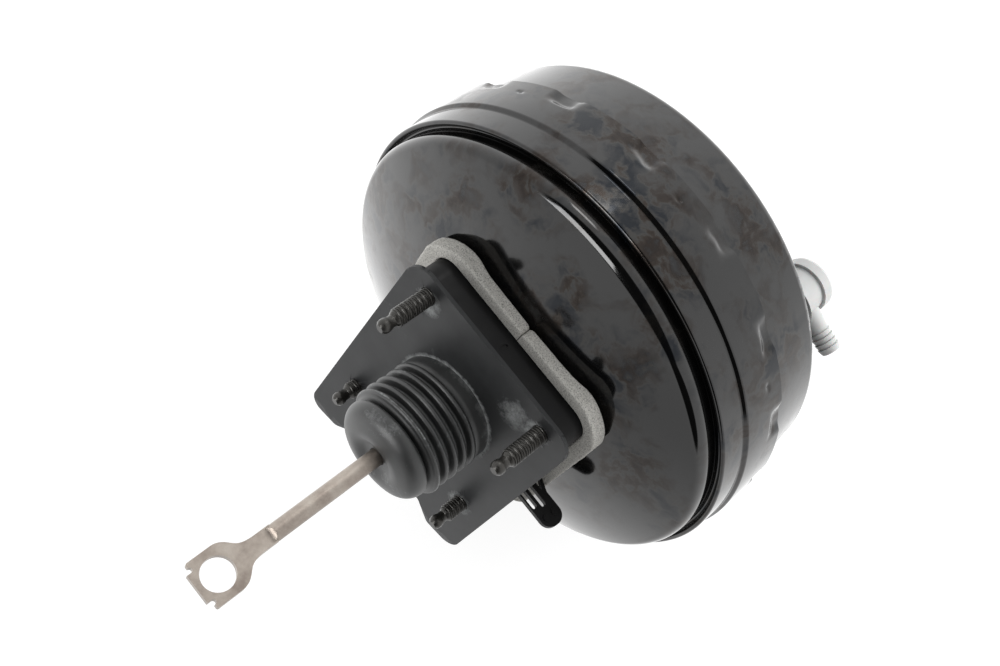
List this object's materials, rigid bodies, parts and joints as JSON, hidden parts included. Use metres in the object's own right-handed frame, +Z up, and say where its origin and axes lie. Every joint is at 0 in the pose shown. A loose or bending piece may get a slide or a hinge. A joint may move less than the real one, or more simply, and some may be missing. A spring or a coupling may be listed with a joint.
{
  "type": "brake booster",
  "caption": "Vacuum brake booster with pressed steel shells, spacer block, rubber boot, eyed pushrod, firewall studs and a check valve with hose nozzle.",
  "frame": {"origin": "centre of the four-stud pattern, in the plane of the gasket's outer face once it is seated", "axes": "+Y along the booster's axis towards the master cylinder, +Z up as installed, X along the pedal pin"},
  "size_m": [0.274, 0.3563, 0.274],
  "materials": {
    "black_painted_steel": "gloss",
    "zinc_steel": "satin",
    "spring_steel": "satin",
    "phosphated_studs": "matte",
    "bare_steel": "satin",
    "black_plastic": "matte",
    "grey_plastic": "satin",
    "moulded_resin": "satin",
    "grey_foam": "matte",
    "grey_rubber": "matte",
    "black_rubber": "matte"
  },
  "bodies": {
    "housing": {"rear_shell": "black_painted_steel", "front_shell": "black_painted_steel", "stud_plate": "zinc_steel", "front_reinforcement": "zinc_steel", "housing_divider": "zinc_steel", "firewall_studs": "phosphated_studs", "master_cylinder_studs": "phosphated_studs", "spacer_block": "black_plastic", "harness_clip": "black_plastic", "foam_seal": "grey_foam", "flange_gasket": "grey_rubber", "pushrod_boot": "black_rubber", "rear_bearing_seal": "black_rubber", "front_seal": "black_rubber", "divider_seal": "black_rubber", "rear_diaphragm": "black_rubber", "front_diaphragm": "black_rubber", "check_valve_grommet": "black_rubber", "check_valve_body": "grey_plastic", "check_valve_cap": "grey_plastic", "return_spring": "spring_steel", "check_valve_spring": "spring_steel"},
    "power_piston": {"valve_body": "moulded_resin", "rear_support_plate": "zinc_steel", "front_support_plate": "zinc_steel", "plate_retainer": "spring_steel", "retaining_key": "spring_steel", "reaction_disc": "black_rubber", "output_rod": "bare_steel", "output_rod_retainer": "spring_steel", "air_filter": "grey_foam", "air_silencer": "grey_foam", "poppet_retainer": "spring_steel", "poppet_seal": "black_rubber", "poppet_spring": "spring_steel", "pushrod_return_spring": "spring_steel"},
    "air_valve": {"plunger": "bare_steel"},
    "input_rod": {"pushrod": "bare_steel"},
    "port_valve": {"check_valve_disc": "black_rubber"}
  },
  "joints": [
    {"name": "brake_stroke", "type": "slide", "parent": "housing", "child": "power_piston", "axis": [0, 1, 0], "range_m": [0, 0.032], "stiffness_N_per_m": 800, "springref_m": -0.05, "deforming": ["return_spring", "pushrod_boot", "rear_diaphragm", "front_diaphragm"]},
    {"name": "valve_stroke", "type": "slide", "parent": "power_piston", "child": "air_valve", "axis": [0, 1, 0], "range_m": [0, 0.0016], "stiffness_N_per_m": 2500, "springref_m": -0.004, "deforming": ["pushrod_return_spring"]},
    {"name": "pushrod_swing", "type": "hinge", "parent": "air_valve", "child": "input_rod", "pos_m": [0, 0.033, 0], "axis": [1, 0, 0], "range_deg": [-3, 3]},
    {"name": "check_valve_lift", "type": "slide", "parent": "housing", "child": "port_valve", "axis": [0, 1, 0], "range_m": [0, 0.0016], "stiffness_N_per_m": 60, "springref_m": -0.002, "deforming": ["check_valve_spring"]}
  ]
}
